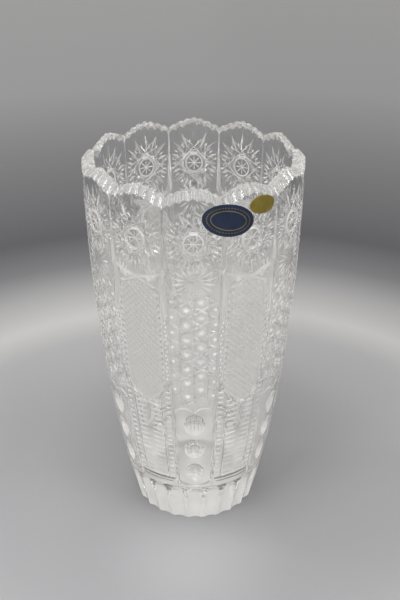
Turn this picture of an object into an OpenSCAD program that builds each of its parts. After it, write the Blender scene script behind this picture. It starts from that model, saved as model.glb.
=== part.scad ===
// Cut crystal vase: one thick glass body with a lobed rim, cut bands, columns
// and panels, a notched foot and a star-cut underside, and two plain oval
// labels stuck on the outside just below the rim.
// Millimetres. +Z up, the vase stands on z = 0, and its axis is the Z axis.
// The front is towards -Y. Angles run from the front towards +X.

/* [Body] */
// Height from the foot to the tips of the rim
vase_h = 255; // [245:1:265]
// Outer radius at the rim
rim_r = 69.5; // [68:0.5:71]
// Outer radius where the side meets the foot
foot_r = 41; // [40:0.5:42]
// Outward lean of the side at the foot, radius per height
foot_lean = 0.243; // [0.22:0.001:0.26]
// Outward lean of the side at the rim, radius per height
rim_lean = 0.005; // [0:0.001:0.02]
// Glass thickness at the rim
rim_wall = 8; // [7:0.5:9]
// Glass thickness of the side near the floor
base_wall = 12; // [10:0.5:13]
// Glass thickness under the floor of the hollow
floor_t = 24; // [20:1:28]
// Radius of the rounded corner inside the hollow
floor_round = 16; // [12:1:18]

/* [Rim] */
// How far the arch of a lobe drops from its tip to its ends
arch_drop = 6; // [5:0.2:7]
// Height of the small bumps along the arch
bump_h = 0.7; // [0.4:0.1:1]
// Width of the chamfer along the outer edge of the rim
chamfer_w = 3.6; // [3:0.2:4]
// Slope of the chamfer, in degrees below level
chamfer_a = 49; // [45:1:52]
// Depth of the upright mitre cut below each notch
mitre_d = 1.8; // [1.2:0.1:2]

/* [Medallions] */
// Height of the medallion centres
wheel_z = 222.5; // [220:0.5:225]
// Outer radius of the medallion ring
wheel_r = 7.6; // [7:0.1:8]
// Width of the medallion ring
wheel_w = 1.9; // [1.5:0.1:2.2]
// Depth of the medallion ring
wheel_d = 1.2; // [0.8:0.1:1.5]

/* [Columns and panels] */
// Half of a column's width, in degrees around the axis
column_half = 13.2; // [12.5:0.1:14]
// Depth of the grooves beside the columns
column_d = 1.3; // [0.9:0.1:1.6]
// Height where the columns' side grooves start
column_z0 = 33; // [32:1:35]
// Height where the columns' side grooves end
column_z1 = 203; // [200:1:205]
// Height of the lowest round print in a column
print_z = 47; // [46:0.5:48]
// Distance between the round prints of a column
print_pitch = 21; // [20:0.5:22]
// Radius of the round prints
print_r = 6; // [5:0.1:6.5]
// Height of the ring groove under the panels
ring_z = 39.5; // [38.5:0.5:40.5]

/* [Foot] */
// Height of the notches around the foot
notch_h = 29; // [26:0.5:31]
// Depth of the notches at the bottom edge
notch_d = 1.75; // [1.5:0.05:1.9]
// Radius of the hollow of a notch
notch_r = 7.4; // [6.5:0.1:7.6]
// Radius of the star cut into the underside
star_r = 33; // [30:0.5:34]
// Depth of the star's rays
star_d = 1.4; // [1:0.1:2]

/* [Labels] */
// Width of the blue label
blue_w = 32; // [30:0.5:32.5]
// Height of the blue label
blue_h = 20.2; // [19:0.1:20.5]
// Height of the blue label's centre
blue_z = 236.2; // [235.5:0.1:236.5]
// Angle of the blue label's centre from the front
blue_a = 17.2; // [16:0.1:17.4]
// Tilt of the blue label
blue_tilt = -13; // [-14:1:-11]
// Width of the gold label
gold_w = 18; // [16:0.5:18]
// Height of the gold label
gold_h = 11.6; // [10:0.1:11.8]
// Height of the gold label's centre
gold_z = 242.4; // [242.2:0.1:243]
// Angle of the gold label's centre from the front
gold_a = 35.4; // [35.2:0.1:37]
// Tilt of the gold label
gold_tilt = -7; // [-9:1:-5]
// Thickness of the labels
label_t = 0.25; // [0.2:0.05:0.3]

/* [Hidden] */

lobes = 12;          // rim lobes and medallions around the vase
columns = 6;         // columns around the vase, with a panel between each two
notches = 24;        // notches around the foot
glue = 0.02;         // layer of adhesive under a label
steps = 18;          // straight steps in the side's profile
lobe_a = 360 / lobes;
$fn = 64;

// Outer radius at height z: a smooth curve set by both ends and their lean.
function out_r(z) = let (u = z / vase_h)
    foot_r * (2*u*u*u - 3*u*u + 1) + foot_lean * vase_h * (u*u*u - 2*u*u + u)
    + rim_r * (3*u*u - 2*u*u*u) + rim_lean * vase_h * (u*u*u - u*u);

// Glass thickness of the side at height z, and the hollow's radius there.
function wall(z) = rim_wall + (base_wall - rim_wall) * pow(max(0, 1 - z / vase_h), 1.5);
function bottom_in(z) = z >= floor_t + floor_round ? 0
    : let (q = 1 - (z - floor_t) / floor_round) floor_round * (1 - sqrt(max(0, 1 - q*q)));
function in_r(z) = out_r(z) - wall(z) - bottom_in(z);

// Slope of the outer side at height z, in degrees from upright.
function lean(z) = atan2(out_r(z + 1) - out_r(z - 1), 2);

// Top edge of a lobe at distance x from its middle: an arch with seven bumps.
lobe_half = (rim_r + 1) * tan(lobe_a / 2);
lobe_arc = rim_r * lobe_a / 2 * PI / 180;
bump_w = lobe_arc / 7;
function lobe_z(x, mid) = vase_h - arch_drop * pow(abs(x) / lobe_arc, 1.5) - bump_h * pow((x - mid) / bump_w, 2);
lobe_top = concat(
    [[-lobe_half - 0.3, lobe_z(-lobe_arc, -6 * bump_w)]],
    [for (b = [-3 : 3], i = [-2 : 2]) if (i < 2 || b == 3) let (mid = 2 * b * bump_w, x = mid + bump_w * i / 2) [x, lobe_z(x, mid)]],
    [[lobe_half + 0.3, lobe_z(lobe_arc, 6 * bump_w)]]);

function oval(w, h) = [for (i = [0 : 47]) [w / 2 * cos(i * 7.5), h / 2 * sin(i * 7.5)]];

// A straight V cut along the side from height z0 to z1, at angle a.
module v_cut(a, z0, z1, d) {
    r0 = out_r(z0); r1 = out_r(z1); w = (d + 0.6) * sqrt(2);
    rotate([0, 0, a]) translate([0, -(r0 + r1) / 2 - 0.6, (z0 + z1) / 2])
        rotate([atan2(r1 - r0, z1 - z0), 0, 0]) rotate([0, 0, 45])
            cube([w, w, norm([r1 - r0, z1 - z0])], center = true);
}

module blank() {
    rotate_extrude($fn = 96) polygon(concat(
        [[0, 0], [foot_r - 0.7, 0], [out_r(1), 1]],
        [for (i = [1 : steps]) let (z = vase_h * i / steps) [out_r(z), z]],
        [[0, vase_h]]));
}

module hollow() {
    rotate_extrude($fn = 96) polygon(concat(
        [[0, floor_t]],
        [for (i = [0 : 5]) let (z = floor_t + floor_round * (1 - cos(i * 18))) [in_r(z), z]],
        [for (i = [1 : steps - 3]) let (z = floor_t + floor_round + (vase_h - floor_t - floor_round) * i / (steps - 3))
            [in_r(z), z]],
        [[in_r(vase_h), vase_h + 5], [0, vase_h + 5]]));
}

// The lobes' edge, cut straight through the wall, and the chamfer outside it.
module rim_cut() {
    for (k = [0 : lobes - 1]) rotate([0, 0, k * lobe_a]) {
        translate([0, -rim_r + rim_wall + 6, 0]) rotate([90, 0, 0])
            linear_extrude(height = rim_wall + 12)
                polygon(concat(lobe_top, [[lobe_half + 0.3, vase_h + 6], [-lobe_half - 0.3, vase_h + 6]]));
        translate([0, -rim_r + chamfer_w, vase_h]) rotate([90 + chamfer_a, 0, 0])
            linear_extrude(height = 16)
                polygon(concat([for (p = lobe_top) [p[0], (p[1] - vase_h) * cos(chamfer_a)]],
                    [[lobe_half + 0.3, 9], [-lobe_half - 0.3, 9]]));
    }
}

module medallion_ring(a) {
    rotate([0, 0, a]) translate([0, -out_r(wheel_z) + wheel_d, wheel_z]) rotate([90 + lean(wheel_z), 0, 0])
        difference() {
            cylinder(r = wheel_r, h = 6);
            translate([0, 0, -1]) cylinder(r = wheel_r - wheel_w, h = 8);
        }
}

module round_print(a, z) {
    ball = 15;
    rotate([0, 0, a]) translate([0, -out_r(z), z]) rotate([90 + lean(z), 0, 0])
        translate([0, 0, sqrt(ball * ball - print_r * print_r)]) sphere(r = ball);
}

module foot_notch(a) {
    tilt = atan2(out_r(notch_h) - out_r(0) + notch_d, notch_h);
    rotate([0, 0, a]) translate([0, -out_r(0) + notch_d, 0]) rotate([tilt, 0, 0])
        translate([0, -notch_r, -6]) cylinder(r = notch_r, h = 60);
}

module panel_ring(a) {
    rotate([0, 0, a - 90 - 30 + column_half]) rotate_extrude(angle = 60 - 2 * column_half)
        translate([out_r(ring_z), ring_z]) rotate(45) square(1.7, center = true);
}

module star() {
    for (i = [0 : 11]) rotate([0, 0, i * 15]) rotate([45, 0, 0])
        cube([2 * star_r, star_d * sqrt(2), star_d * sqrt(2)], center = true);
}

// The glass: blown and moulded thick, then cut from the outside.
module crystal_body() {
    color([0.86, 0.89, 0.91, 0.6]) difference() {
        blank();
        hollow();
        rim_cut();
        for (k = [0 : lobes - 1]) {
            v_cut((k + 0.5) * lobe_a, column_z1, vase_h + 4, mitre_d);
            medallion_ring(k * lobe_a);
        }
        for (k = [0 : columns - 1], s = [-1, 1], i = [0 : 3])
            v_cut(k * 60 + s * column_half,
                column_z0 + (column_z1 - column_z0) * i / 4, column_z0 + (column_z1 - column_z0) * (i + 1) / 4, column_d);
        for (k = [0 : columns - 1]) {
            panel_ring(30 + k * 60);
            for (j = [0 : 2]) round_print(k * 60, print_z + j * print_pitch);
        }
        for (k = [0 : notches - 1]) foot_notch(k * 360 / notches);
        star();
    }
}

// A thin oval label that follows the curve of the side.
module label(a, zc, w, h, tilt) {
    z0 = zc - w; z1 = min(vase_h, zc + w);
    intersection() {
        rotate_extrude($fn = 96) polygon(concat(
            [for (i = [0 : 8]) let (z = z0 + (z1 - z0) * i / 8) [out_r(z) + glue, z]],
            [for (i = [8 : -1 : 0]) let (z = z0 + (z1 - z0) * i / 8) [out_r(z) + glue + label_t, z]]));
        rotate([0, 0, a]) translate([0, -out_r(zc) + 12, zc]) rotate([90, 0, 0]) rotate([0, 0, tilt])
            linear_extrude(height = 24) polygon(oval(w, h));
    }
}

// Blue foil label on the front, right of the middle.
module blue_oval_label() { color([0.11, 0.16, 0.26]) label(blue_a, blue_z, blue_w, blue_h, blue_tilt); }

// Small gold foil label beside it, higher up.
module gold_oval_label() { color([0.45, 0.41, 0.17]) label(gold_a, gold_z, gold_w, gold_h, gold_tilt); }

crystal_body();
blue_oval_label();
gold_oval_label();
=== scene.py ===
"""Cut crystal vase: the looks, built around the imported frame."""
import math

import bmesh
import bpy
import numpy as np
from mathutils import Matrix, Vector

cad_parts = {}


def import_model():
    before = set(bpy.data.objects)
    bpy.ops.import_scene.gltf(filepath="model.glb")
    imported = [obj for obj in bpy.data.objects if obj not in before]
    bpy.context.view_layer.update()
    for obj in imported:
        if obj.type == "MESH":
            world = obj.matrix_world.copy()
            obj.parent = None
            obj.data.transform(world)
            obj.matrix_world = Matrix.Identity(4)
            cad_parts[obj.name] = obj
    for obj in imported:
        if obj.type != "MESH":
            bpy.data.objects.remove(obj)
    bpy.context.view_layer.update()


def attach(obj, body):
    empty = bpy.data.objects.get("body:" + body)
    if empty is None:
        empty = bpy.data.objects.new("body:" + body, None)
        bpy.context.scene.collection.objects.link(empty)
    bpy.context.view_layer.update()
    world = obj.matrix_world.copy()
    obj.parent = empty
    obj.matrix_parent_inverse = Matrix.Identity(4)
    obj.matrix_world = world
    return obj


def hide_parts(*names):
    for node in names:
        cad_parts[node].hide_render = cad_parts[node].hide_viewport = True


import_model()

RAD = math.pi / 180

# ---------------------------------------------------------------------------
# The shape of the uncut glass, in millimetres, as in the construction.
# Angles are in radians from the front (-Y) towards +X.
# ---------------------------------------------------------------------------
H = 255.0
RIM_R, FOOT_R, FOOT_LEAN, RIM_LEAN = 69.5, 41.0, 0.243, 0.005
RIM_WALL, BASE_WALL, FLOOR_T, FLOOR_ROUND = 8.0, 12.0, 24.0, 16.0


def out_r(z):
    u = np.asarray(z, float) / H
    return (FOOT_R * (2 * u**3 - 3 * u**2 + 1) + FOOT_LEAN * H * (u**3 - 2 * u**2 + u)
            + RIM_R * (3 * u**2 - 2 * u**3) + RIM_LEAN * H * (u**3 - u**2))


def in_r(z):
    z = np.asarray(z, float)
    wall = RIM_WALL + (BASE_WALL - RIM_WALL) * np.maximum(0, 1 - z / H) ** 1.5
    q = np.clip(1 - (z - FLOOR_T) / FLOOR_ROUND, 0, 1)
    return out_r(z) - wall - FLOOR_ROUND * (1 - np.sqrt(np.maximum(0, 1 - q * q)))


def side(th, z):
    """Points and outward normals on the uncut side."""
    th, z = np.asarray(th, float), np.asarray(z, float)
    r = out_r(z)
    slope = (out_r(z + 0.5) - out_r(z - 0.5))
    nr, nz = 1 / np.sqrt(1 + slope**2), -slope / np.sqrt(1 + slope**2)
    pts = np.stack([r * np.sin(th), -r * np.cos(th), z], -1)
    nrm = np.stack([nr * np.sin(th), -nr * np.cos(th), nz], -1)
    return pts, nrm


# ---------------------------------------------------------------------------
# Cutters: closed meshes, gathered in groups whose members never overlap.
# ---------------------------------------------------------------------------
GROUPS = {}
# How each kind of cut is left: its roughness from 0 (fire-polished) to 1 (unpolished), and how milky it is.
# the milky white of wcap and rax stands in for glints: painted highlights on real cuts
FINISH = {"wring": (0.3, 0.75), "wspoke": (0.35, 0.7), "wface": (0.03, 0.02), "wcap": (0.2, 0.85), "ray": (0.04, 0.03), "raz": (0.2, 0.5), "rax": (0.2, 0.9),
          "chord": (0.1, 0.2), "chore": (0.1, 0.15), "mitrea": (0.1, 0.1), "mitreb": (0.2, 0.4),
          "rim": (0.1, 0.12), "rimc": (0.08, 0.16), "rimn": (0.15, 0.15),
          "hatch": (0.8, 0.9), "strip": (0.3, 0.42), "bead": (0.3, 0.8), "star": (0.3, 1.0), "diag": (0.15, 0.35),
          "colv": (0.15, 0.35), "colside": (0.15, 0.3), "sun": (0.2, 0.55), "colend": (0.3, 0.5), "arch": (0.3, 0.5),
          "olive": (0.06, 0.3), "olivev": (0.3, 0.72), "oliveh": (0.4, 0.75), "panside": (0.2, 0.4), "panroof": (0.3, 0.5),
          "panfoot": (0.2, 0.3), "thumb": (0.03, 0.03), "panfan": (0.3, 0.75), "feather": (0.3, 0.6), "ladder": (0.3, 0.8), "ring": (0.1, 0.1), "fside": (0.1, 0.05),
          "wedge": (0.03, 0.0), "notch": (0.3, 0.98), "under": (0.3, 0.15)}


def finish_of(group):
    best = max((k for k in FINISH if group.startswith(k)), key=len, default=None)
    return FINISH[best] if best else (0.25, 0.4)


def add(group, verts, faces):
    GROUPS.setdefault(group, []).append((np.asarray(verts, float), faces))


def sweep(group, pts, nrm, depth, k, h=0.35, closed=False):
    """A V cut along points on a surface: its apex lies depth under the surface, and its sides open by k."""
    pts, nrm = np.asarray(pts, float), np.asarray(nrm, float)
    depth = np.broadcast_to(np.asarray(depth, float), (len(pts),))
    if closed:
        tan = np.roll(pts, -1, 0) - np.roll(pts, 1, 0)
    else:
        tan = np.gradient(pts, axis=0)
    side_v = np.cross(tan, nrm)
    side_v /= np.linalg.norm(side_v, axis=1)[:, None]
    k = np.broadcast_to(np.asarray(k, float), (len(pts),))
    half = (k * (depth + h))[:, None]
    apex = pts - nrm * depth[:, None]
    left = pts + nrm * h + side_v * half
    right = pts + nrm * h - side_v * half
    n = len(pts)
    verts = np.concatenate([apex, left, right])
    faces = []
    for i in range(n if closed else n - 1):
        j = (i + 1) % n
        for p, q in ((0, 1), (1, 2), (2, 0)):
            a, b, c, d = p * n + i, q * n + i, q * n + j, p * n + j
            faces += [(a, b, c), (a, c, d)]
    if not closed:
        faces += [(0, 2 * n, n), (n - 1, 2 * n - 1, 3 * n - 1)]
    add(group, verts, faces)


def run_out(n, ends=0.12, both=True):
    """Places along a cut and its depth there: even, rising to the surface at the ends."""
    t = np.concatenate([[0], np.linspace(ends, 1 - ends, max(2, n)), [1]])
    d = np.ones(len(t))
    d[0] = d[-1] = 0
    return t, d


def lens(n=6):
    t = np.linspace(0, 1, n + 1)
    return t, 1 - (2 * t - 1) ** 2


def kite(peak=0.5):
    return np.array([0, peak, 1.0]), np.array([0, 1.0, 0])


def stroke(group, th0, z0, p, q, depth, k, shape, h=0.35):
    """A straight cut from p to q, in millimetres around and up the side from (th0, z0)."""
    t, d = shape
    a, b = p[0] + (q[0] - p[0]) * t, p[1] + (q[1] - p[1]) * t
    z = z0 + b
    pts, nrm = side(th0 + a / out_r(z), z)
    sweep(group, pts, nrm, d * (depth + 0.04) - 0.04, k, h)


def line_tz(group, th, z, depth, k, ends=True, h=0.35):
    """A cut along given angles and heights."""
    pts, nrm = side(th, z)
    d = np.full(len(pts), float(depth))
    if ends:
        d[0] = d[-1] = -0.04
    sweep(group, pts, nrm, d, k, h)


def turned(v, a):
    c, s = math.cos(a), math.sin(a)
    v = np.asarray(v, float)
    return np.stack([c * v[:, 0] - s * v[:, 1], s * v[:, 0] + c * v[:, 1], v[:, 2]], 1)


def ellipsoid(group, centre, axes, radii, nu=28, nv=16):
    verts, faces = [centre - axes[2] * radii[2]], []
    for j in range(1, nv):
        el = -math.pi / 2 + math.pi * j / nv
        for i in range(nu):
            az = 2 * math.pi * i / nu
            verts.append(centre + axes[0] * radii[0] * math.cos(el) * math.cos(az)
                         + axes[1] * radii[1] * math.cos(el) * math.sin(az) + axes[2] * radii[2] * math.sin(el))
    verts.append(centre + axes[2] * radii[2])
    top = len(verts) - 1
    for i in range(nu):
        i2 = (i + 1) % nu
        faces.append((0, 1 + i2, 1 + i))
        faces.append((top, top - nu + i, top - nu + i2))
        for j in range(nv - 2):
            a, b = 1 + j * nu, 1 + (j + 1) * nu
            faces.append((a + i, a + i2, b + i2, b + i))
    add(group, verts, faces)


def disc(group, th, z, radius, depth, n=40):
    """A flat round cut, its face lying depth under the surface at its middle."""
    pts, nrm = side([th], [z])
    p, out = pts[0], nrm[0]
    tx = np.array([math.cos(th), math.sin(th), 0.0])
    f = np.arange(n) * 2 * math.pi / n
    edge = radius * (np.outer(np.cos(f), tx) + np.outer(np.sin(f), np.cross(out, tx)))
    faces = [tuple(range(n - 1, -1, -1)), tuple(range(n, 2 * n))]
    faces += [(i, (i + 1) % n, n + (i + 1) % n, n + i) for i in range(n)]
    add(group, np.concatenate([p - out * depth + edge, p + out + edge]), faces)


# Rim: lobes with a row of bumps, a chamfer outside, and a V cut down the chamfer between two lobes.
LOBE = 30 * RAD
LOBE_HALF, LOBE_DROP, BUMP = RIM_R * LOBE / 2, 6.0, RIM_R * LOBE / 14
CHAMFER, CHAMFER_SLOPE = 3.6, 1.15


def lobe_z(x, bump_h):
    """Height of a lobe's edge at a distance around the rim from the lobe's middle."""
    x = np.asarray(x, float)
    mid = np.clip(np.round(x / (2 * BUMP)), -3, 3) * 2 * BUMP
    return H - LOBE_DROP * (np.abs(x) / LOBE_HALF) ** 1.5 - bump_h * ((x - mid) / BUMP) ** 2


def rim_ring(group, bump_h, r0, r1, fall):
    """A ring over the lobes' edge, from radius r0 to r1, sinking by fall per millimetre."""
    th, low = [], []
    for k in range(12):
        for i in range(7):
            for t in np.linspace(-1, 1, 9)[:-1]:
                x = (2 * (i - 3) + t) * BUMP
                th.append(k * LOBE + x / RIM_R)
                low.append(float(lobe_z(x + 1e-6, bump_h)))
    th, low = np.array(th), np.array(low)
    n = len(th)
    rows = [(r0, low), (r1, low - fall * (r1 - r0)), (r1, np.full(n, H + 8)), (r0, np.full(n, H + 8))]
    verts = np.concatenate([np.stack([r * np.sin(th), -r * np.cos(th), z], 1) for r, z in rows])
    faces = []
    for i in range(n):
        j = (i + 1) % n
        for a in range(4):
            b = (a + 1) % 4
            faces.append((a * n + i, a * n + j, b * n + j, b * n + i))
    add(group, verts, faces)


def rim():
    rim_ring("rim", 1.1, RIM_R - RIM_WALL - 6, RIM_R + 6, 0.0)
    rim_ring("rimc", 1.5, RIM_R - CHAMFER, RIM_R + 6, CHAMFER_SLOPE)
    for k in range(12):
        rim_v("rimn", (k + 0.5) * LOBE, float(lobe_z(LOBE_HALF, 1.5)), 0.5, 0.8)


def rim_v(group, th, zt, depth, k):
    """A V cut down the chamfer."""
    f = math.atan(CHAMFER_SLOPE)
    t = np.array([-0.9, 2.0, 7.0])
    r, z = RIM_R - CHAMFER + t * math.cos(f), zt - t * math.sin(f)
    pts = np.stack([r * math.sin(th), -r * math.cos(th), z], 1)
    nrm = np.tile([math.sin(f) * math.sin(th), -math.sin(f) * math.cos(th), math.cos(f)], (3, 1))
    sweep(group, pts, nrm, depth, k, 0.5)


# Medallions: a spoked wheel in a ring, an eight-pointed star of chords, and rays.
WHEEL_Z, WHEEL_R = 222.5, 7.6


def medallions():
    for k in range(12):
        th, g = k * LOBE, "%d" % (k % 2)
        ang = np.linspace(0, 2 * math.pi, 56, endpoint=False)
        a, b = 6.4 * np.cos(ang), 6.4 * np.sin(ang)
        pts, nrm = side(th + a / out_r(WHEEL_Z + b), WHEEL_Z + b)
        sweep("wring", pts, nrm, 0.9, 1.55, closed=True)
        disc("wface", th, WHEEL_Z, 6.1, 0.42)
        # a short broad cut over the top of the ring, left milky white: a painted highlight in place of the glint on
        # the ring's top
        stroke("wcap", th, WHEEL_Z, (-3.1, 6.4), (3.1, 6.4), 1.0, 1.6, run_out(3, 0.12))
        for i in range(4):
            c, s = math.cos(i * 45 * RAD), math.sin(i * 45 * RAD)
            stroke("wspoke%d" % i, th, WHEEL_Z, (-5.3 * c, -5.3 * s), (5.3 * c, 5.3 * s), 0.9, 0.6, run_out(5, 0.06))
        for i in range(8):
            f = i * 45 * RAD
            c, s = math.cos(f), math.sin(f)
            # chords that touch the ring and cross into an eight-pointed star
            half, deep = (19.5, 0.5) if i % 2 == 0 else (17.5, 0.5)
            p, q = (8.0 * c - half * s, 8.0 * s + half * c), (8.0 * c + half * s, 8.0 * s - half * c)
            if i % 4 != 2:
                stroke("chord%d_%s" % (i, g), th, WHEEL_Z, p, q, deep, 0.85, run_out(9, 0.12))
            # broad kites between the chords
            far = (16.4, 22.6, 24.6, 22.6, 16.4, 19.5, 20.0, 19.5)[i]
            wide = 1.9 if i % 2 == 0 else 1.7
            stroke("ray" + g, th, WHEEL_Z, (8.3 * c, 8.3 * s), (far * c, far * s), 0.95, wide, kite(0.5))
            # slim kites in the points, and thin chords between the others
            f2 = f + 22.5 * RAD
            c2, s2 = math.cos(f2), math.sin(f2)
            r2 = (18.0, 23.6, 23.6, 18.0, 17.5, 20.0, 20.0, 17.5)[i]
            stroke("raz" + g, th, WHEEL_Z, (10.5 * c2, 10.5 * s2), (r2 * c2, r2 * s2), 0.75, 1.3, kite(0.5))
            p, q = (8.3 * c2 - 14.5 * s2, 8.3 * s2 + 14.5 * c2), (8.3 * c2 + 14.5 * s2, 8.3 * s2 - 14.5 * c2)
            stroke("chore%d_%s" % (i, g), th, WHEEL_Z, p, q, 0.35, 0.75, run_out(7, 0.15))
            # short kites beside the wheel, left milky white: painted glints
            for e in (11.25, -11.25):
                f3 = f + e * RAD
                c3, s3 = math.cos(f3), math.sin(f3)
                r3 = 14.6 if e > 0 else 15.4
                stroke("rax%s%d" % (g, e > 0), th, WHEEL_Z, ((r3 - 1.9) * c3, (r3 - 1.9) * s3), ((r3 + 2.1) * c3, (r3 + 2.1) * s3),
                       0.5, 1.1, kite(0.5))
        # upright mitre cut between two lobes, deeper towards its lower end
        for name, z in (("mitreb", np.concatenate([[201.5], np.linspace(204, 229, 6)])), ("mitrea", np.linspace(227, 250, 5))):
            pts, nrm = side(np.full(len(z), (k + 0.5) * LOBE), z)
            d = 0.5 + 1.25 * np.maximum(0, 240 - z) / 36
            d[z < 203] = -0.04
            sweep(name, pts, nrm, d, 0.95)


# Columns: a lattice of three sets of lines with small stars, arches, olive prints and a rounded end.
COL_HALF = 13.2 * RAD
LAT_LO, LAT_HI, PITCH, ALPHA = 105.0, 189.5, 10.8, 7.7 * RAD
OLIVES = (47.0, 68.4, 89.2)


def col_half(z):
    """Half of a column's width, as an angle: a little wider at the top."""
    return np.interp(z, [130, 190], [13.2, 14.1]) * RAD


def columns():
    e = PITCH / 2
    zc = 151.3
    for k in range(6):
        th0 = k * 60 * RAD
        for s in (-1, 1):
            z = np.concatenate([[33.0], np.linspace(36, 200, 42), [203.0]])
            pts, nrm = side(th0 + s * col_half(z), z)
            d = np.where(z < 176, 1.35, 0.6)
            d[0] = d[-1] = -0.04
            sweep("colside", pts, nrm, d, 1.0)
            z = np.concatenate([[LAT_LO], np.linspace(LAT_LO + 3, LAT_HI - 3, 24), [LAT_HI]])
            line_tz("colv", th0 + s * ALPHA + 0 * z, z, 0.8, 1.0)
        z = np.concatenate([[LAT_LO + 2], np.linspace(LAT_LO + 5, LAT_HI - 3, 24), [LAT_HI]])
        line_tz("colv", th0 + 0 * z, z, 0.8, 1.0)
        for sg, name in ((1, "diagA"), (-1, "diagB")):
            for n in range(-8, 9):
                c = zc + sg * e / 2 + PITCH * n
                t = np.linspace(-COL_HALF, COL_HALF, 41)
                z = c + sg * e / ALPHA * t
                ok = (z > LAT_LO + 1.0) & (z < LAT_HI - 1.0)
                if ok.sum() < 9:
                    continue
                t, z = t[ok], z[ok]
                sel = np.unique(np.linspace(0, len(t) - 1, 9).astype(int))
                line_tz(name, th0 + t[sel], z[sel], 0.85, 1.0)
        # small stars on the buttons of the lattice
        for m in range(-2, 2):
            for n in range(-6, 7):
                zz = zc + n * PITCH + (0 if m % 2 == 0 else e)
                if not (LAT_LO + 4.5 < zz < LAT_HI - 4.5):
                    continue
                tm = (m + 0.5) * ALPHA
                L, wide = (3.0, 1.15) if m in (-1, 0) else (1.7, 0.9)
                for i in range(4):
                    f = i * 45 * RAD
                    stroke("star%d" % i, th0 + tm, zz, (-L * math.cos(f), -L * math.sin(f)), (L * math.cos(f), L * math.sin(f)),
                           0.55, wide, kite(0.5))
        # two small arches under the lattice
        for sg in (-1, 1):
            f = np.linspace(8, 172, 13) * RAD
            z = 98.5 + 5.2 * np.sin(f)
            line_tz("arch%d" % sg, th0 + (sg * 6.6 + 6.3 * np.cos(f)) / out_r(z), z, 0.75, 1.3)
        # sunburst above the lattice
        for i in range(18):
            f = (i * 20 + 10) * RAD
            c, sn = math.cos(f), math.sin(f)
            far = min(13.6 / max(1e-6, abs(c)), 9.8 / max(1e-6, abs(sn)), 13.6)
            near = 4.6 if i % 2 == 0 else 5.6
            stroke("sun", th0, 197.5, (near * c, near * sn), (far * c, far * sn), 0.8, 1.0, kite(0.55))
        # olive prints with cross cuts
        for j, zo in enumerate(OLIVES):
            A, B = ((6.2, 8.6), (6.9, 8.8), (7.2, 9.4))[j]
            pts, nrm = side([th0], [zo])
            n = nrm[0]
            tx = np.array([math.cos(th0), math.sin(th0), 0.0])
            up = np.cross(n, tx)
            ellipsoid("olive%d" % (j % 2), pts[0] + n * 3.0, (tx, up * -1, n), (A / 0.866, B / 0.866, 6.0))
            # upright cuts in the upper two, level cuts in the lower two
            for i in range(-2, 3):
                if j > 0:
                    cross_cut("olivev", th0, zo, A, B, i * A * 0.35, True)
                if j == 0 or (j == 1 and i < 0):
                    cross_cut("oliveh", th0, zo, A, B, i * B * 0.34, False)
        # rounded lower end
        t = np.linspace(-1.04, 1.04, 15)
        line_tz("colend", th0 + COL_HALF * t, 34.5 + 4.5 * np.abs(t) ** 3, 0.9, 1.0)


def cross_cut(group, th0, z0, A, B, off, upright):
    """A fine cut across an olive print, following its hollow."""
    lim = (B * math.sqrt(max(0, 1 - (off / A) ** 2)) if upright else A * math.sqrt(max(0, 1 - (off / B) ** 2))) * 0.93
    t = np.linspace(-1, 1, 9)
    a, b = (np.full(9, off), t * lim) if upright else (t * lim, np.full(9, off))
    f = np.clip(1 - (a / A) ** 2 - (b / B) ** 2, 0, 1)
    d = 3.0 * f + 0.45
    d[0] = d[-1] = 0.05
    z = z0 + b
    pts, nrm = side(th0 + a / out_r(z), z)
    sweep(group, pts, nrm, d, 0.24 + 0.75 / (d + 0.8), 0.3)


# Panels: a hatched shield with a roofed top and a rounded foot, and feather cuts below it.
PAN_TOP, PAN_BOT, PAN_RISE = 196.5, 105.5, 14.0
HATCH = 3.0


def pan_half(z):
    """Half of the shield's width, as an angle: narrower at its shoulders."""
    return np.interp(z, [168, 180, 192], [12.9, 12.0, 10.9]) * RAD


def pan_roof(t):
    """Height of a roof line at an angle from the panel's middle; past the middle it runs on, rising less."""
    return PAN_TOP - np.where(t > 0, 0.49, 0.36) * t / RAD


def pan_foot(t):
    return PAN_BOT + PAN_RISE * (np.abs(t) / (12.9 * RAD)) ** 2.4


def panel_inside(t, z, inset=0.0):
    """Whether an angle from the panel's middle and a height are in the hatched shield."""
    roof, foot_z = pan_roof(np.abs(t)) - inset * 1.15, pan_foot(t) + inset * 1.15
    return (np.abs(t) * out_r(z) <= pan_half(z) * out_r(z) - inset) & (z < roof) & (z > foot_z)


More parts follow.
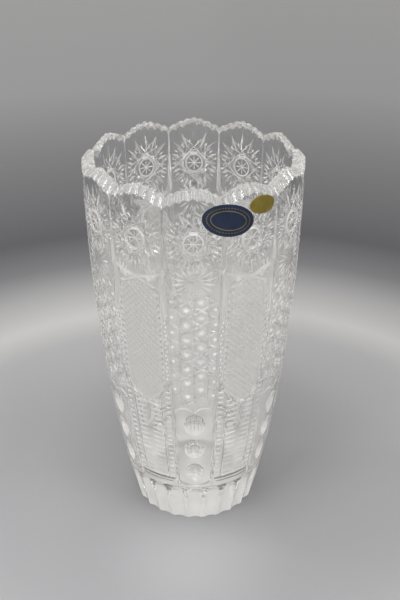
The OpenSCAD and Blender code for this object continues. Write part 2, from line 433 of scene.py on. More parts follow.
def panels():
    zm = 152.0
    for k in range(6):
        th0 = (30 + 60 * k) * RAD
        for sg in (-1, 1):
            for n in range(-27, 28):
                s = np.arange(-75, 75, 0.5)
                a = s * math.sqrt(0.5) - sg * n * HATCH * math.sqrt(0.5)
                b = sg * s * math.sqrt(0.5) + n * HATCH * math.sqrt(0.5)
                z = zm + b
                good = (z > 90) & (z < 215)
                t = a / out_r(np.clip(z, 0, H))
                ok = good & panel_inside(t, z, 0.4)
                if ok.sum() < 8:
                    continue
                i0, i1 = np.flatnonzero(ok)[[0, -1]]
                m = max(3, int((i1 - i0) * 0.5 / 4.0))
                idx = np.unique(np.concatenate([[i0, i0 + 2], np.linspace(i0 + 2, i1 - 2, m).astype(int), [i1 - 2, i1]]))
                line_tz("hatch%d_%d" % (sg, n % 2), th0 + t[idx], z[idx], 0.52, 2.95, h=0.12)
        # rounded lower border of the shield
        t = np.linspace(-1.02, 1.02, 21) * 12.9 * RAD
        line_tz("panfoot", th0 + t, pan_foot(t) - 0.7, 0.95, 1.0)
        for s in (-1, 1):
            # upright borders, and broad roof lines that cross in the middle and run on to the far column
            z = np.concatenate([[119.0], np.linspace(121, 189, 20), [191.0]])
            line_tz("panside", th0 + s * (pan_half(z) + 0.35 * RAD), z, 0.8, 1.0)
            t = np.linspace(-14.6, 11.3, 15) * RAD
            line_tz("panroof%d" % s, th0 + s * t, pan_roof(t) + 0.9, 0.7, 2.2)
            # a small polished thumb cut at the lower corner
            pts, nrm = side([th0 + s * 14.4 * RAD], [119.5])
            nn = nrm[0]
            tx = np.array([math.cos(th0 + s * 14.4 * RAD), math.sin(th0 + s * 14.4 * RAD), 0.0])
            ellipsoid("thumb", pts[0] + nn * 2.0, (tx, np.cross(tx, nn), nn), (2.1 / 0.745, 3.8 / 0.745, 3.0), 20, 12)
            # fans in the corners above the shield's shoulders
            for i, f in enumerate((92, 106, 120, 134, 148)):
                c, sn = math.cos(f * RAD), math.sin(f * RAD)
                far = (14.5, 14.0, 12.5, 10.5, 8.5)[i]
                stroke("panfan", th0 + s * 10.5 * RAD, 193.0, (3.2 * c * s, 3.2 * sn), (far * c * s, far * sn), 0.75, 0.95, kite(0.5))
            # smooth flute beside the shield's shoulder, and a row of beads below it
            z = np.concatenate([[168.0], np.linspace(171, 204, 12), [207.0]])
            lo, hi = pan_half(z) + 0.8 * RAD, 30 * RAD - col_half(z) - 0.7 * RAD
            pts, nrm = side(th0 + s * (lo + hi) / 2, z)
            d = np.full(len(z), 0.42)
            d[0] = d[-1] = -0.04
            sweep("strip", pts, nrm, d, (hi - lo) / 2 * out_r(z) / 0.42, 0.08)
            for i in range(15):
                zz = 126.0 + i * 3.0
                W = (14.75 + (0.4 if i % 2 else -0.4)) * RAD * float(out_r(zz))
                stroke("bead", th0, zz, (s * (W - 0.8), 0), (s * (W + 0.8), 0), 0.5, 1.3, kite(0.5))
            # ladder beside the column, and feather strokes to the middle
            for i in range(19):
                zz = 43.0 + 4.0 * i
                W = 16.7 * RAD * float(out_r(zz))
                if zz < 116:
                    stroke("ladder", th0, zz, (s * (W - 1.0), 0), (s * (W - 5.2), 0), 0.65, 1.0, lens(4))
                if zz < float(pan_foot(8 * RAD)) - 2.0:
                    stroke("feather%d" % s, th0, zz + 0.3, (s * 0.8, 0.3), (s * (W - 6.3), -0.3), 0.75, 1.0, lens(5))
            z = np.concatenate([[37.5], np.linspace(40, 104, 16), [107.0]])
            line_tz("fside", th0 + s * 9.8 * RAD + 0 * z, z, 0.6, 0.8)
        # ring groove under the feathers
        t = np.linspace(-16.6 * RAD, 16.6 * RAD, 15)
        line_tz("ring0", th0 + t, 39.4 + 0 * t, 0.95, 1.0)
        line_tz("ring1", th0 + t[1:-1], 36.6 + 0 * t[1:-1], 0.6, 0.9)


def foot():
    # flutes with a round top: a rod with a ball end, laid along the side
    big, deep0, deep1, zc = 7.4, 1.85, 1.6, 23.5
    r0, r1 = float(out_r(0)) - deep0 + big, float(out_r(zc)) - deep1 + big
    tilt = math.atan2(r1 - r0, zc)
    run = math.hypot(r1 - r0, zc)
    rows = [(-10.0, big), (run, big)]
    rows += [(run + big * math.sin(a * RAD), big * math.cos(a * RAD)) for a in (6, 12, 18, 24, 30, 36, 42, 52, 66, 80)]
    n = 64
    ang = np.linspace(0, 2 * math.pi, n, endpoint=False)
    verts = [np.stack([r * np.cos(ang), r * np.sin(ang), np.full(n, z)], 1) for z, r in rows]
    verts.append(np.array([[0, 0, run + big]]))
    v = np.concatenate(verts)
    v = np.stack([v[:, 0], v[:, 1] * math.cos(tilt) - v[:, 2] * math.sin(tilt) - r0,
                  v[:, 1] * math.sin(tilt) + v[:, 2] * math.cos(tilt)], 1)
    m = len(rows)
    rod = [tuple(range(n - 1, -1, -1))]
    for i in range(n):
        i2 = (i + 1) % n
        rod += [(a * n + i, a * n + i2, (a + 1) * n + i2, (a + 1) * n + i) for a in range(m - 1)]
        rod.append(((m - 1) * n + i, (m - 1) * n + i2, m * n))
    for k in range(24):
        add("notch%d" % (k % 2), turned(v, k * 15 * RAD), rod)
        # small polished wedges between the tops of the flutes
        deep = 0.6 if k % 4 in (0, 3) else 1.5
        for z, half in ((30.4, 3.9), (27.6, 2.3)):
            stroke("wedge", (k + 0.5) * 15 * RAD, z, (-half, 0), (half, 0), deep, 1.0, run_out(3, 0.25))
        # star under the foot
        a = k * 15 * RAD
        r = np.array([0.8, 12.0, 22.0, 28.0, 33.0])
        d = np.array([-0.04, 1.35, 2.35, 1.9, -0.04])
        pts = np.stack([r * math.sin(a), -r * math.cos(a), 0 * r], 1)
        sweep("under%d" % (k % 4), pts, np.tile([0, 0, -1.0], (5, 1)), d, 1.12, 0.2)


def blank_mesh(seg=192):
    """The uncut glass as one closed mesh."""
    prof = [(12.0, 0.0), (25.0, 0.0), (FOOT_R - 0.7, 0.0), (float(out_r(1.0)), 1.0), (float(out_r(4.0)), 4.0)]
    for z in np.concatenate([np.linspace(7.5, 250, 60), [H]]):
        prof.append((float(out_r(z)), float(z)))
    top_in = float(in_r(H))
    prof.append((top_in + 4.0, H))
    prof.append((top_in, H))
    zs = np.concatenate([np.linspace(H - 5, FLOOR_T + FLOOR_ROUND, 44)])
    for z in zs:
        prof.append((float(in_r(z)), float(z)))
    for i in range(1, 10):
        z = FLOOR_T + FLOOR_ROUND * (1 - math.sin(i * 9 * RAD))
        prof.append((float(in_r(z)), z))
    prof.append((float(in_r(FLOOR_T)), FLOOR_T))
    prof.append((float(in_r(FLOOR_T)) * 0.5, FLOOR_T))
    n = len(prof)
    ang = np.arange(seg) * 2 * math.pi / seg
    verts = [(0.0, 0.0, 0.0)]
    for r, z in prof:
        verts += list(zip(r * np.sin(ang), -r * np.cos(ang), np.full(seg, z)))
    verts.append((0.0, 0.0, FLOOR_T))
    last = len(verts) - 1
    faces = []
    for i in range(seg):
        j = (i + 1) % seg
        faces.append((0, 1 + j, 1 + i))
        faces.append((last, 1 + (n - 1) * seg + i, 1 + (n - 1) * seg + j))
        for m in range(n - 1):
            a, b = 1 + m * seg, 1 + (m + 1) * seg
            faces.append((a + i, a + j, b + j, b + i))
    return verts, faces


def mesh_object(name, verts, faces):
    me = bpy.data.meshes.new(name)
    me.from_pydata([tuple(map(float, v)) for v in verts], [], [tuple(int(i) for i in f) for f in faces])
    me.update()
    ob = bpy.data.objects.new(name, me)
    bpy.context.scene.collection.objects.link(ob)
    return ob


# How milky the uncut outside is, by height
HAZE = [(0, 0.8), (20, 0.8), (24, 0.02), (30, 0.02), (33, 0.8), (37, 0.8), (46, 0.74), (62, 0.62), (85, 0.45), (150, 0.38), (190, 0.36),
        (213, 0.27), (226, 0.07), (236, 0.0)]
FERN_HAZE = 0.55


def cut_glass():
    rim(); medallions(); columns(); panels(); foot()
    glass = mesh_object("cut_glass", *blank_mesh())
    glass.data.attributes.new("cut", "FLOAT", "FACE")
    glass.data.attributes.new("milk", "FLOAT", "FACE")
    skin = glass.data.attributes.new("skin", "FLOAT", "FACE")
    outside = [p.normal.x * p.center.x + p.normal.y * p.center.y > 1e-3 for p in glass.data.polygons]
    share = np.array(outside, np.float32)
    for i, p in enumerate(glass.data.polygons):
        # the ground under the feather cuts is left clearer than the columns
        a = math.atan2(p.center.x, -p.center.y) / RAD % 60
        if p.center.z < 116 and 13.2 < a < 46.8:
            share[i] *= np.interp(p.center.z, [66, 86], [1.0, FERN_HAZE])
    skin.data.foreach_set("value", share)
    tools = bpy.data.collections.new("cutters")
    made = []
    for name, parts in GROUPS.items():
        verts, faces, base = [], [], 0
        for v, f in parts:
            verts.append(v)
            faces += [tuple(i + base for i in face) for face in f]
            base += len(v)
        me = bpy.data.meshes.new("cut_" + name)
        me.from_pydata([tuple(p) for p in np.concatenate(verts)], [], faces)
        bm = bmesh.new()
        bm.from_mesh(me)
        bmesh.ops.triangulate(bm, faces=bm.faces)
        bmesh.ops.recalc_face_normals(bm, faces=bm.faces)
        bm.to_mesh(me)
        bm.free()
        n = len(me.polygons)
        rough, milky = finish_of(name)
        kind = {"cut": np.full(n, rough), "milk": np.full(n, milky), "skin": np.zeros(n)}
        if name == "wring":
            # the ring's outer wall is polished, its inner wall is ground
            outer = np.arange(n) % 6 < 2
            kind["cut"][outer], kind["milk"][outer] = 0.03, 0.26
        if name.startswith(("olive", "star", "diag", "colv")):
            z = np.array([p.center.z for p in me.polygons])
            if name in ("olive0", "olive1"):
                # the olive prints, with painted light and shade: clearer in their upper half and milkier, so whiter,
                # in their lower half, as if lit from above
                j = np.abs(z[:, None] - np.array(OLIVES)).argmin(1)
                lo, hi = np.array([0.6, 0.62, 0.66])[j], np.array([0.5, 0.25, 0.08])[j]
                kind["milk"] = lo + (hi - lo) * np.clip((z - np.array(OLIVES)[j]) / 4.5 + 0.5, 0, 1)
            # like the uncut outside, they scatter less where they turn away from the eye
            kind["skin"] = kind["milk"] / np.interp(z, *zip(*HAZE))
            kind["milk"] = np.zeros(n)
        for key, value in kind.items():
            me.attributes.new(key, "FLOAT", "FACE").data.foreach_set("value", value.astype(np.float32))
        ob = bpy.data.objects.new("cut_" + name, me)
        tools.objects.link(ob)
        made.append(ob)
    mod = glass.modifiers.new("cuts", "BOOLEAN")
    mod.operation = "DIFFERENCE"
    mod.operand_type = "COLLECTION"
    mod.collection = tools
    mod.solver = "MANIFOLD"
    bpy.context.scene.collection.children.link(tools)
    bpy.context.view_layer.update()
    dep = bpy.context.evaluated_depsgraph_get()
    me = bpy.data.meshes.new_from_object(glass.evaluated_get(dep))
    for ob in made:
        m = ob.data
        bpy.data.objects.remove(ob)
        bpy.data.meshes.remove(m)
    bpy.data.collections.remove(tools)
    bpy.data.objects.remove(glass)
    return me


def tidy(me, scale=0.001):
    """Removes slivers, sets the shading and goes to metres."""
    bm = bmesh.new()
    bm.from_mesh(me)
    bmesh.ops.dissolve_degenerate(bm, dist=0.003, edges=bm.edges)
    bmesh.ops.triangulate(bm, faces=[f for f in bm.faces if len(f.verts) > 4])
    bm.to_mesh(me)
    bm.free()
    n = len(me.polygons)
    me.polygons.foreach_set("use_smooth", np.ones(n, bool))
    me.set_sharp_from_angle(angle=14 * RAD)
    me.transform(Matrix.Scale(scale, 4))
    me.update()
    return me


# ---------------------------------------------------------------------------
# Labels: thin curved foil ovals with a raised edge and plain raised trim.
# ---------------------------------------------------------------------------
GLUE, LABEL_T = 0.02, 0.25


def label_frame(a, zc, tilt):
    """Maps label coordinates in millimetres to points on the side, at a height over it."""
    ct, st = math.cos(tilt), math.sin(tilt)

    def place(u, v, up):
        u, v = np.asarray(u, float), np.asarray(v, float)
        x, z = u * ct - v * st, zc + u * st + v * ct
        th = a + np.arcsin(np.clip(x / out_r(z), -1, 1))
        pts, nrm = side(th, z)
        return pts + nrm * np.asarray(up, float)[..., None]
    return place


def oval_sheet(name, place, w, h, rings, seg, relief):
    """A closed oval sheet: rings of points from the middle out, on its face and on its back."""
    ang = np.arange(seg) * 2 * math.pi / seg
    verts, faces = [], []
    radii = np.asarray(rings, float)
    face_h = [relief(r) for r in radii]
    verts += list(place([0.0], [0.0], [GLUE + LABEL_T + relief(0.0)]))
    for r, up in zip(radii, face_h):
        verts += list(place(w / 2 * r * np.cos(ang), h / 2 * r * np.sin(ang), np.full(seg, GLUE + LABEL_T + up)))
    back0 = len(verts)
    for r in radii[::-1]:
        verts += list(place(w / 2 * r * np.cos(ang), h / 2 * r * np.sin(ang), np.full(seg, GLUE)))
    verts += list(place([0.0], [0.0], [GLUE]))
    last = len(verts) - 1
    rows = [1 + i * seg for i in range(2 * len(radii))]
    for i in range(seg):
        j = (i + 1) % seg
        faces.append((0, rows[0] + i, rows[0] + j))
        for a, b in zip(rows[:-1], rows[1:]):
            faces.append((a + i, b + i, b + j, a + j))
        faces.append((rows[-1] + i, last, rows[-1] + j))
    ob = mesh_object(name, np.array(verts) * 0.001, faces)
    bm = bmesh.new()
    bm.from_mesh(ob.data)
    bmesh.ops.recalc_face_normals(bm, faces=bm.faces)
    bm.to_mesh(ob.data)
    bm.free()
    ob.data.polygons.foreach_set("use_smooth", np.ones(len(ob.data.polygons), bool))
    ob.data.set_sharp_from_angle(angle=40 * RAD)
    return ob, back0


# ---------------------------------------------------------------------------
# Materials
# ---------------------------------------------------------------------------
def new_material(name):
    m = bpy.data.materials.new(name)
    m.use_nodes = True
    return m, m.node_tree, m.node_tree.nodes["Principled BSDF"]


def node(nt, kind, **values):
    n = nt.nodes.new(kind)
    for k, v in values.items():
        if k in n.inputs:
            n.inputs[k].default_value = v
        else:
            setattr(n, k, v)
    return n


def ramp(nt, source, stops):
    n = nt.nodes.new("ShaderNodeValToRGB")
    e = n.color_ramp.elements
    while len(e) > 1:
        e.remove(e[-1])
    e[0].position, e[0].color = stops[0][0], (*stops[0][1], 1)
    for pos, col in stops[1:]:
        e.new(pos).color = (*col, 1)
    nt.links.new(source, n.inputs["Fac"])
    return n


def glass_material():
    m, nt, b = new_material("cut_crystal")
    link = nt.links.new
    b.inputs["Transmission Weight"].default_value = 1.0
    b.inputs["IOR"].default_value = 1.55
    tex = node(nt, "ShaderNodeTexCoord")
    fine = node(nt, "ShaderNodeTexNoise", Scale=900.0, Detail=2.0)
    cloud = node(nt, "ShaderNodeTexNoise", Scale=35.0, Detail=3.0)
    link(tex.outputs["Object"], fine.inputs["Vector"])
    link(tex.outputs["Object"], cloud.inputs["Vector"])
    # colour: nearly white, a trace cooler in places, with painted shade: greyer where the glass is seen edge-on
    tint = ramp(nt, cloud.outputs["Fac"], [(0.3, (0.985, 0.992, 1.0)), (0.7, (1.0, 1.0, 0.995))])
    turn = node(nt, "ShaderNodeLayerWeight", Blend=0.5)
    edge = ramp(nt, turn.outputs["Facing"], [(0.45, (1.0, 1.0, 1.0)), (0.75, (0.80, 0.81, 0.83)), (1.0, (0.6, 0.61, 0.64))])
    # painted shade: the tint is multiplied by the darker edge-on ramp
    deep = node(nt, "ShaderNodeVectorMath", operation="MULTIPLY")
    link(tint.outputs["Color"], deep.inputs[0])
    link(edge.outputs["Color"], deep.inputs[1])
    link(deep.outputs[0], b.inputs["Base Color"])
    # roughness: the blown faces are fire-polished, the cut faces keep a trace of the wheel
    cut = node(nt, "ShaderNodeAttribute", attribute_name="cut")
    wheel = node(nt, "ShaderNodeMapRange")
    wheel.inputs["From Min"].default_value, wheel.inputs["From Max"].default_value = 0.35, 0.65
    wheel.inputs["To Min"].default_value, wheel.inputs["To Max"].default_value = CUT_ROUGH * 0.8, CUT_ROUGH * 1.2
    link(fine.outputs["Fac"], wheel.inputs["Value"])
    mul = node(nt, "ShaderNodeMath", operation="MULTIPLY_ADD")
    mul.inputs[2].default_value = 0.006
    link(cut.outputs["Fac"], mul.inputs[0])
    link(wheel.outputs["Result"], mul.inputs[1])
    link(mul.outputs[0], b.inputs["Roughness"])
    # ground faces scatter light, in front of them and through them
    milk = node(nt, "ShaderNodeAttribute", attribute_name="milk")
    grain = node(nt, "ShaderNodeMapRange")
    grain.inputs["From Min"].default_value, grain.inputs["From Max"].default_value = 0.3, 0.7
    grain.inputs["To Min"].default_value, grain.inputs["To Max"].default_value = MILK * 0.85, MILK * 1.15
    link(cloud.outputs["Fac"], grain.inputs["Value"])
    skin = node(nt, "ShaderNodeAttribute", attribute_name="skin")
    sep = node(nt, "ShaderNodeSeparateXYZ")
    link(tex.outputs["Object"], sep.inputs[0])
    up = node(nt, "ShaderNodeMapRange")
    up.inputs["From Max"].default_value = H / 1000
    link(sep.outputs["Z"], up.inputs["Value"])
    hazy = ramp(nt, up.outputs["Result"], [(z / H, (v, v, v)) for z, v in HAZE])
    # the outside scatters less where it turns away from the eye
    round_off = node(nt, "ShaderNodeMapRange", interpolation_type="SMOOTHSTEP")
    round_off.inputs["From Min"].default_value, round_off.inputs["From Max"].default_value = 0.42, 0.75
    round_off.inputs["To Min"].default_value, round_off.inputs["To Max"].default_value = 1.0, 0.15
    link(turn.outputs["Facing"], round_off.inputs["Value"])
    outer = node(nt, "ShaderNodeMath", operation="MULTIPLY")
    link(skin.outputs["Fac"], outer.inputs[0])
    link(round_off.outputs["Result"], outer.inputs[1])
    total = node(nt, "ShaderNodeMath", operation="MULTIPLY_ADD")
    link(outer.outputs[0], total.inputs[0])
    link(hazy.outputs["Color"], total.inputs[1])
    link(milk.outputs["Fac"], total.inputs[2])
    share = node(nt, "ShaderNodeMath", operation="MULTIPLY", use_clamp=True)
    link(total.outputs[0], share.inputs[0])
    link(grain.outputs["Result"], share.inputs[1])
    front = node(nt, "ShaderNodeBsdfPrincipled", Roughness=0.14, IOR=1.55)
    tone = ramp(nt, cut.outputs["Fac"], [(0.45, (0.975, 0.963, 0.94)), (0.75, (0.72, 0.71, 0.69))])
    link(tone.outputs["Color"], front.inputs["Base Color"])
    through = node(nt, "ShaderNodeBsdfTranslucent")
    link(tone.outputs["Color"], through.inputs["Color"])
    ground = node(nt, "ShaderNodeMixShader")
    ground.inputs["Fac"].default_value = 0.3
    link(front.outputs[0], ground.inputs[1])
    link(through.outputs[0], ground.inputs[2])
    both = node(nt, "ShaderNodeMixShader")
    link(share.outputs[0], both.inputs["Fac"])
    link(b.outputs[0], both.inputs[1])
    link(ground.outputs[0], both.inputs[2])
    link(both.outputs[0], nt.nodes["Material Output"].inputs["Surface"])
    return m


CUT_ROUGH, MILK = 0.45, 0.8


def foil_material(name, base, deep, rough, metal):
    """Printed foil: colour drifting a little, fine emboss grain, soft creases."""
    m, nt, b = new_material(name)
    link = nt.links.new
    tex = node(nt, "ShaderNodeTexCoord")
    cloud = node(nt, "ShaderNodeTexNoise", Scale=160.0, Detail=4.0)
    grain = node(nt, "ShaderNodeTexNoise", Scale=2600.0, Detail=2.0)
    crease = node(nt, "ShaderNodeTexVoronoi", Scale=210.0, feature="DISTANCE_TO_EDGE")
    for n in (cloud, grain, crease):
        link(tex.outputs["Object"], n.inputs["Vector"])
    col = ramp(nt, cloud.outputs["Fac"], [(0.3, deep), (0.7, base)])
    link(col.outputs["Color"], b.inputs["Base Color"])
    b.inputs["Metallic"].default_value = metal
    r = node(nt, "ShaderNodeMapRange")
    r.inputs["To Min"].default_value, r.inputs["To Max"].default_value = rough * 0.75, rough * 1.25
    link(grain.outputs["Fac"], r.inputs["Value"])
    link(r.outputs["Result"], b.inputs["Roughness"])
    add_h = node(nt, "ShaderNodeMath", operation="MULTIPLY_ADD")
    add_h.inputs[1].default_value = 0.25
    link(grain.outputs["Fac"], add_h.inputs[0])
    link(crease.outputs["Distance"], add_h.inputs[2])
    bump = node(nt, "ShaderNodeBump", Strength=0.12, Distance=0.0001)
    link(add_h.outputs[0], bump.inputs["Height"])
    link(bump.outputs["Normal"], b.inputs["Normal"])
    return m


# ---------------------------------------------------------------------------
# The pieces
# ---------------------------------------------------------------------------
body = bpy.data.objects.new("crystal_glass", tidy(cut_glass()))
bpy.context.scene.collection.objects.link(body)
body.data.materials.clear()
body.data.materials.append(glass_material())
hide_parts("crystal_body")
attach(body, "root")

navy = foil_material("navy_foil", (0.020, 0.034, 0.075), (0.012, 0.021, 0.050), 0.38, 0.25)
gold = foil_material("gold_foil", (0.42, 0.33, 0.075), (0.30, 0.235, 0.05), 0.36, 0.75)
backing = foil_material("label_backing", (0.60, 0.60, 0.57), (0.52, 0.52, 0.50), 0.75, 0.0)


def edge_relief(r):
    return -0.10 * max(0.0, (r - 0.965) / 0.035)


BLUE = (17.2 * RAD, 236.2, 32.0, 20.2, -13.0 * RAD)
GOLD = (35.4 * RAD, 242.4, 18.0, 11.6, -7.0 * RAD)
RINGS = [0.15, 0.3, 0.45, 0.6, 0.75, 0.88, 0.965, 1.0]


def make_label(name, spec, face):
    a, zc, w, h, tilt = spec
    place = label_frame(a, zc, tilt)
    ob, back0 = oval_sheet(name, place, w, h, RINGS, 96, edge_relief)
    ob.data.materials.append(face)
    ob.data.materials.append(backing)
    for p in ob.data.polygons:
        p.material_index = 1 if min(p.vertices) >= back0 else 0
    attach(ob, "root")
    return ob, place


def oval_line(name, place, rx, ry, width, face, seg=96, t0=0.0, t1=2 * math.pi, rise=0.05):
    """A raised line of foil along an oval, with a low rounded section."""
    closed = t1 - t0 > 6.28
    ang = np.linspace(t0, t1, seg, endpoint=not closed)
    sect = [(-0.5, -0.06), (-0.42, 0.6), (0.0, 1.0), (0.42, 0.6), (0.5, -0.06)]
    verts, faces = [], []
    nx, ny = np.cos(ang) / rx, np.sin(ang) / ry
    ln = np.hypot(nx, ny)
    nx, ny = nx / ln, ny / ln
    for s, u in sect:
        verts.append(place(rx * np.cos(ang) + nx * s * width, ry * np.sin(ang) + ny * s * width,
                           np.full(seg, GLUE + LABEL_T + rise * u)))
    verts = np.concatenate(verts)
    m = len(sect)
    for i in range(seg if closed else seg - 1):
        j = (i + 1) % seg
        for k in range(m):
            l = (k + 1) % m
            faces.append((k * seg + i, k * seg + j, l * seg + j, l * seg + i))
    if not closed:
        faces += [tuple(k * seg for k in range(m)), tuple(k * seg + seg - 1 for k in range(m))[::-1]]
    ob = mesh_object(name, verts * 0.001, faces)
    bm = bmesh.new()
    bm.from_mesh(ob.data)
    bmesh.ops.recalc_face_normals(bm, faces=bm.faces)
    bm.to_mesh(ob.data)
    bm.free()
    ob.data.polygons.foreach_set("use_smooth", np.ones(len(ob.data.polygons), bool))
    ob.data.materials.append(face)
    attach(ob, "root")
    return ob


blue_label, blue_place = make_label("blue_label_foil", BLUE, navy)
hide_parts("blue_oval_label")
gold_label, gold_place = make_label("gold_label_foil", GOLD, gold)
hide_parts("gold_oval_label")
oval_line("blue_label_inner_line", blue_place, 11.0, 5.9, 0.42, gold)
oval_line("gold_label_edge_line", gold_place, 8.2, 5.0, 0.3, gold)


def dot_row(name, place, rx, ry, count, size, face, rise=0.07):
    """A row of small raised dots along an oval, as one mesh."""
    verts, faces = [], []
    ring = np.arange(10) * 2 * math.pi / 10
    for i in range(count):
        a = 2 * math.pi * i / count
        x, y = rx * math.cos(a), ry * math.sin(a)
        base = len(verts)
        for r, up in ((1.0, -0.02), (0.8, 0.6 * rise), (0.4, 0.95 * rise)):
            verts += list(place(x + size * r * np.cos(ring), y + size * r * np.sin(ring), np.full(10, GLUE + LABEL_T + up)))
        verts += list(place([x], [y], [GLUE + LABEL_T + rise]))
        for m in range(10):
            n = (m + 1) % 10
            for k in (0, 10):
                faces.append((base + k + m, base + k + n, base + k + 10 + n, base + k + 10 + m))
            faces.append((base + 20 + m, base + 20 + n, base + 30))
        faces.append(tuple(base + m for m in range(9, -1, -1)))
    ob = mesh_object(name, np.array(verts) * 0.001, faces)
    ob.data.polygons.foreach_set("use_smooth", np.ones(len(ob.data.polygons), bool))
    ob.data.materials.append(face)
    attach(ob, "root")
    return ob


dot_row("blue_label_dot_border", blue_place, 13.3, 7.8, 44, 0.34, gold)


# ---------------------------------------------------------------------------
# Floor, light and camera
# ---------------------------------------------------------------------------
def floor():
    seg, radii = 96, [0.3, 0.7, 1.5, 3.0, 6.0]
    ang = np.arange(seg) * 2 * math.pi / seg
    verts, faces = [(0, 0, 0)], []
    for r in radii:
        verts += [(r * math.cos(t), r * math.sin(t), 0) for t in ang]
    for i in range(seg):
        j = (i + 1) % seg
        faces.append((0, 1 + i, 1 + j))
        for k in range(len(radii) - 1):
            a, b = 1 + k * seg, 1 + (k + 1) * seg
            faces.append((a + i, b + i, b + j, a + j))
    ob = mesh_object("floor", np.array(verts) + (0, 0, -0.0003), faces)
    m, nt, b = new_material("floor_card_painted_light")
    link = nt.links.new
    tex = node(nt, "ShaderNodeTexCoord")
    ln = node(nt, "ShaderNodeVectorMath", operation="LENGTH")
    link(tex.outputs["Object"], ln.inputs[0])
    fit = node(nt, "ShaderNodeMapRange")
    fit.inputs["From Max"].default_value = 2.0
    link(ln.outputs["Value"], fit.inputs["Value"])
    tone = ramp(nt, fit.outputs["Result"], FLOOR_TONES)
    sep = node(nt, "ShaderNodeSeparateXYZ")
    link(tex.outputs["Object"], sep.inputs[0])
    # painted light: the card's colour is made brighter towards the front
    near = node(nt, "ShaderNodeMapRange")
    near.inputs["From Min"].default_value, near.inputs["From Max"].default_value = 0.02, -0.2
    near.inputs["To Min"].default_value, near.inputs["To Max"].default_value = 1.0, 1.2
    link(sep.outputs["Y"], near.inputs["Value"])
    # painted shade: the card is a little darker on the right; and a painted pool of light in front of the foot, for
    # the light gathered by the glass
    right = node(nt, "ShaderNodeMapRange")
    right.inputs["From Max"].default_value = 0.1
    right.inputs["To Min"].default_value, right.inputs["To Max"].default_value = 1.0, 0.95
    link(sep.outputs["X"], right.inputs["Value"])
    painted_pool = node(nt, "ShaderNodeVectorMath", operation="MULTIPLY_ADD")
    painted_pool.inputs[1].default_value, painted_pool.inputs[2].default_value = (13.0, 11.0, 0.0), (0.0, 0.825, 0.0)
    link(tex.outputs["Object"], painted_pool.inputs[0])
    away = node(nt, "ShaderNodeVectorMath", operation="LENGTH")
    link(painted_pool.outputs[0], away.inputs[0])
    painted_pool_light = node(nt, "ShaderNodeMapRange", interpolation_type="SMOOTHSTEP")
    painted_pool_light.inputs["To Min"].default_value, painted_pool_light.inputs["To Max"].default_value = 1.27, 1.0
    link(away.outputs["Value"], painted_pool_light.inputs["Value"])
    # painted shadow: the card is darkened softly around the foot, beside it and behind it
    off = node(nt, "ShaderNodeVectorMath", operation="DISTANCE")
    off.inputs[1].default_value = (0.012, 0.06, 0.0)
    link(tex.outputs["Object"], off.inputs[0])
    painted_shadow = node(nt, "ShaderNodeMapRange", interpolation_type="SMOOTHSTEP")
    painted_shadow.inputs["From Min"].default_value, painted_shadow.inputs["From Max"].default_value = 0.05, 0.14
    painted_shadow.inputs["To Min"].default_value, painted_shadow.inputs["To Max"].default_value = 0.82, 1.0
    link(off.outputs["Value"], painted_shadow.inputs["Value"])
    # painted light and shade: the card's colour is scaled by the painted front light, right-hand shade, pool of light
    # and shadow
    painted_light = near
    for factor in (right, painted_pool_light, painted_shadow):
        both = node(nt, "ShaderNodeMath", operation="MULTIPLY")
        link(painted_light.outputs[0], both.inputs[0])
        link(factor.outputs["Result"], both.inputs[1])
        painted_light = both
    scale = node(nt, "ShaderNodeVectorMath", operation="SCALE")
    link(tone.outputs["Color"], scale.inputs[0])
    link(painted_light.outputs[0], scale.inputs["Scale"])
    link(scale.outputs[0], b.inputs["Base Color"])
    grain = node(nt, "ShaderNodeTexNoise", Scale=400.0, Detail=2.0)
    link(tex.outputs["Object"], grain.inputs["Vector"])
    rr = node(nt, "ShaderNodeMapRange")
    rr.inputs["To Min"].default_value, rr.inputs["To Max"].default_value = 0.5, 0.6
    link(grain.outputs["Fac"], rr.inputs["Value"])
    link(rr.outputs["Result"], b.inputs["Roughness"])
    b.inputs["Specular IOR Level"].default_value = 0.25
    ob.data.materials.append(m)
    return ob


def grey(v, cool=0.0):
    return (v, v * (1 + 0.15 * cool), v * (1 + cool))


# the card's tone by distance from the middle: a bright ring and a dark band behind the vase, partly a graded card and
# partly painted light and shade
FLOOR_TONES = [(0.0, grey(0.25, 0.05)), (0.075, grey(0.25, 0.05)), (0.116, grey(0.285, 0.03)), (0.136, grey(0.375)), (0.163, grey(0.26, 0.02)),
               (0.192, grey(0.118, 0.08)), (0.228, grey(0.055, 0.14)), (0.268, grey(0.078, 0.1)), (0.36, grey(0.125, 0.06)),
               (0.5, grey(0.205, 0.04)), (1.0, grey(0.265, 0.03))]
floor()


def warm(v):
    return (v, v * 0.982, v * 0.95)


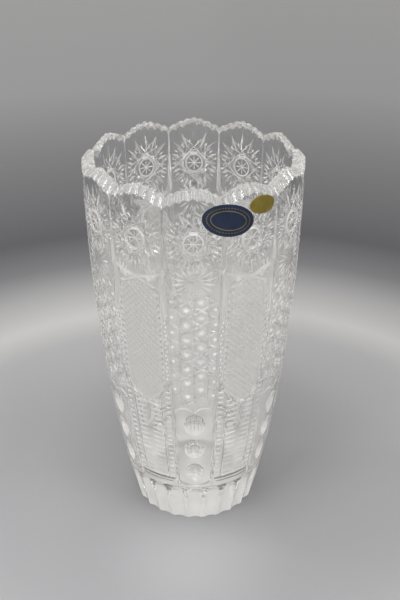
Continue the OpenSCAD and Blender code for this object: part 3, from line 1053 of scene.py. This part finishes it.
def world():
    w = bpy.data.worlds.new("studio")
    bpy.context.scene.world = w
    w.use_nodes = True
    nt = w.node_tree
    bg = nt.nodes["Background"]
    tex = node(nt, "ShaderNodeTexCoord")
    sep = node(nt, "ShaderNodeSeparateXYZ")
    nt.links.new(tex.outputs["Generated"], sep.inputs[0])
    fit = node(nt, "ShaderNodeMapRange")
    fit.inputs["From Min"].default_value, fit.inputs["From Max"].default_value = -1.0, 1.0
    nt.links.new(sep.outputs["Z"], fit.inputs["Value"])
    c = ramp(nt, fit.outputs["Result"], [(0.0, warm(0.4)), (0.5, warm(0.4)), (0.6, warm(0.55)), (0.72, warm(0.95)), (1.0, warm(1.12))])
    front = node(nt, "ShaderNodeMapRange", interpolation_type="SMOOTHSTEP")
    front.inputs["From Min"].default_value, front.inputs["From Max"].default_value = -0.9, -0.35
    front.inputs["To Min"].default_value = 0.25
    nt.links.new(sep.outputs["Y"], front.inputs["Value"])
    high = node(nt, "ShaderNodeMapRange", interpolation_type="SMOOTHSTEP")
    high.inputs["From Min"].default_value, high.inputs["From Max"].default_value = 0.3, 0.75
    high.inputs["To Min"].default_value = 0.25
    nt.links.new(sep.outputs["Z"], high.inputs["Value"])
    most = node(nt, "ShaderNodeMath", operation="MAXIMUM")
    nt.links.new(front.outputs["Result"], most.inputs[0])
    nt.links.new(high.outputs["Result"], most.inputs[1])
    dim = node(nt, "ShaderNodeVectorMath", operation="SCALE")
    nt.links.new(c.outputs["Color"], dim.inputs[0])
    nt.links.new(most.outputs[0], dim.inputs["Scale"])
    nt.links.new(dim.outputs[0], bg.inputs["Color"])
    bg.inputs["Strength"].default_value = WORLD


def softbox(name, place, aim, size, power, colour=(1, 1, 1)):
    d = bpy.data.lights.new(name, "AREA")
    d.shape, d.size, d.size_y = "RECTANGLE", size[0], size[1]
    d.energy, d.color = power, colour
    ob = bpy.data.objects.new(name, d)
    ob.location = place
    ob.rotation_euler = (Vector(aim) - Vector(place)).to_track_quat("-Z", "Y").to_euler()
    bpy.context.scene.collection.objects.link(ob)
    return ob


WORLD = 1.08
world()
softbox("key_left", (-1.1, -1.0, 1.5), (0, 0, 0.12), (0.6, 0.6), 5.5)
softbox("fill_right", (1.3, -0.8, 1.3), (0, 0, 0.12), (0.5, 0.5), 4)
low = softbox("low_front", (0.0, -1.25, 0.22), (0, 0, 0.0), (0.7, 0.25), 0.25)
low.data.spread = 40 * RAD
softbox("top", (-0.2, 0.6, 2.0), (0, 0, 0.1), (1.2, 0.7), 7)
softbox("front_top", (0.0, -1.4, 1.55), (0, 0, 0.12), (0.5, 0.45), 5.5)
for spot, place in enumerate(((-0.8, -1.3, 1.7), (1.0, -1.1, 1.5), (-1.4, 0.3, 1.4))):
    softbox("small_lamp_%d" % spot, place, (0, 0, 0.12), (0.2, 0.2), 3.2)

cam = bpy.data.objects.new("camera", bpy.data.cameras.new("camera"))
cam.data.lens, cam.data.sensor_width = 63.76, 36.0
cam.data.clip_start, cam.data.clip_end = 0.01, 50
cam.matrix_world = (Matrix.Translation((0.0038, -0.6265, 0.4795))
                    @ Matrix.Rotation(math.pi / 2 - 0.484, 4, "X") @ Matrix.Rotation(-0.003, 4, "Z"))
bpy.context.scene.collection.objects.link(cam)
bpy.context.scene.camera = cam

sc = bpy.context.scene
sc.view_settings.view_transform = "Standard"
sc.view_settings.look = "None"
sc.cycles.max_bounces = 32
sc.cycles.transmission_bounces = 32
sc.cycles.glossy_bounces = 12
sc.cycles.diffuse_bounces = 4
sc.cycles.caustics_reflective = True
sc.cycles.caustics_refractive = True
sc.cycles.blur_glossy = 0.05
sc.cycles.sample_clamp_indirect = 6.0
sc.cycles.use_denoising = True
